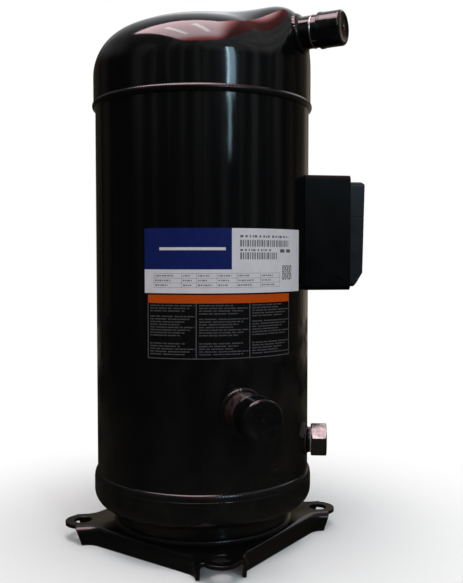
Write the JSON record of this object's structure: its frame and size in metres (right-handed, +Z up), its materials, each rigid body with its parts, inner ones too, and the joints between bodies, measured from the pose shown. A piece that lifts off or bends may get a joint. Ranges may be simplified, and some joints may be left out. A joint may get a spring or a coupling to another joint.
{
  "type": "scroll compressor",
  "caption": "Upright hermetic scroll compressor: welded black shell with domed cap, footed base plate, capped pipe stubs, terminal box and sight glass, with motor, crank and scroll set inside.",
  "frame": {"origin": "centre of the four foot holes, on the underside of the feet", "axes": "+Z up along the crankshaft, +X out through the terminal box, feet on the X and Y axes"},
  "size_m": [0.3233, 0.323, 0.5725],
  "materials": {
    "black_paint": "gloss",
    "copper": "satin",
    "bare_steel": "satin",
    "plated_steel": "satin",
    "rubber": "matte",
    "foam": "matte",
    "sealing_ring": "matte",
    "black_plastic": "satin",
    "terminal_plastic": "satin",
    "glass": "clear",
    "bead_glass": "gloss",
    "lamination": "satin",
    "winding": "satin",
    "cast_iron": "machined",
    "aluminium": "cast",
    "bronze": "machined",
    "green_screw": "gloss",
    "label_film": "satin"
  },
  "bodies": {
    "housing": {"base_plate": "black_paint", "base_weld": "black_paint", "bottom_cap": "black_paint", "lower_girth_weld": "black_paint", "center_shell": "black_paint", "upper_girth_weld": "black_paint", "top_cap": "black_paint", "discharge_weld": "black_paint", "discharge_stub": "black_paint", "suction_weld": "black_paint", "sight_glass_boss": "black_paint", "suction_stub": "copper", "separator_plate": "bare_steel", "suction_baffle": "bare_steel", "box_studs": "bare_steel", "box_nuts": "bare_steel", "terminal_cup": "bare_steel", "terminal_nuts": "bare_steel", "guide_bolts": "bare_steel", "guide_sleeves": "bare_steel", "thrust_washer": "bare_steel", "valve_cage": "bare_steel", "sight_glass_nut": "plated_steel", "box_gasket": "foam", "sight_glass_gasket": "sealing_ring", "terminal_box": "black_plastic", "terminal_block": "terminal_plastic", "sight_glass_lens": "glass", "terminal_glass": "bead_glass", "stator_core": "lamination", "stator_winding": "winding", "main_bearing_housing": "cast_iron", "lower_bearing_housing": "cast_iron", "main_bearing": "bronze", "lower_bearing": "bronze", "terminal_pins": "bronze", "earth_screw": "green_screw"},
    "crank": {"crankshaft": "bare_steel", "rotor_core": "lamination", "rotor_end_rings": "aluminium", "upper_counterweight": "bronze", "lower_counterweight": "bronze", "oil_pickup": "bare_steel", "drive_bush": "bronze"},
    "orbiting_set": {"orbiting_scroll": "cast_iron", "orbiting_bearing": "bronze"},
    "oldham": {"oldham_ring": "aluminium"},
    "fixed_set": {"fixed_scroll": "cast_iron"},
    "seal": {"floating_seal": "cast_iron"},
    "valve": {"check_valve_disc": "bare_steel"},
    "box_lid": {"terminal_box_cover": "black_plastic"},
    "suction_plug": {"suction_cap": "rubber"},
    "discharge_plug": {"discharge_cap": "rubber"}
  },
  "joints": [
    {"name": "crank_spin", "type": "hinge", "parent": "housing", "child": "crank", "pos_m": [0, 0, 0.2], "axis": [0, 0, 1], "continuous": true},
    {"name": "scroll_orbit", "type": "hinge", "parent": "crank", "child": "orbiting_set", "pos_m": [0, 0.0071, 0.37], "axis": [0, 0, 1], "continuous": true},
    {"name": "oldham_slide", "type": "slide", "parent": "housing", "child": "oldham", "axis": [1, 0, 0], "range_m": [-0.0071, 0.0071]},
    {"name": "fixed_scroll_float", "type": "slide", "parent": "housing", "child": "fixed_set", "axis": [0, 0, 1], "range_m": [0, 0.0005]},
    {"name": "seal_float", "type": "slide", "parent": "fixed_set", "child": "seal", "axis": [0, 0, 1], "range_m": [0, 0.0008]},
    {"name": "valve_lift", "type": "slide", "parent": "housing", "child": "valve", "axis": [0, 0, 1], "range_m": [0, 0.004]},
    {"name": "box_cover_pull", "type": "slide", "parent": "housing", "child": "box_lid", "axis": [1, 0, 0], "range_m": [0, 0.06]},
    {"name": "suction_cap_pull", "type": "slide", "parent": "housing", "child": "suction_plug", "axis": [0.2079, -0.9781, 0], "range_m": [0, 0.09]},
    {"name": "discharge_cap_pull", "type": "slide", "parent": "housing", "child": "discharge_plug", "axis": [0.7986, -0.6018, 0], "range_m": [0, 0.09]}
  ],
  "couplings": [
    {"joint": "scroll_orbit", "follows": "crank_spin", "ratio": -1}
  ]
}
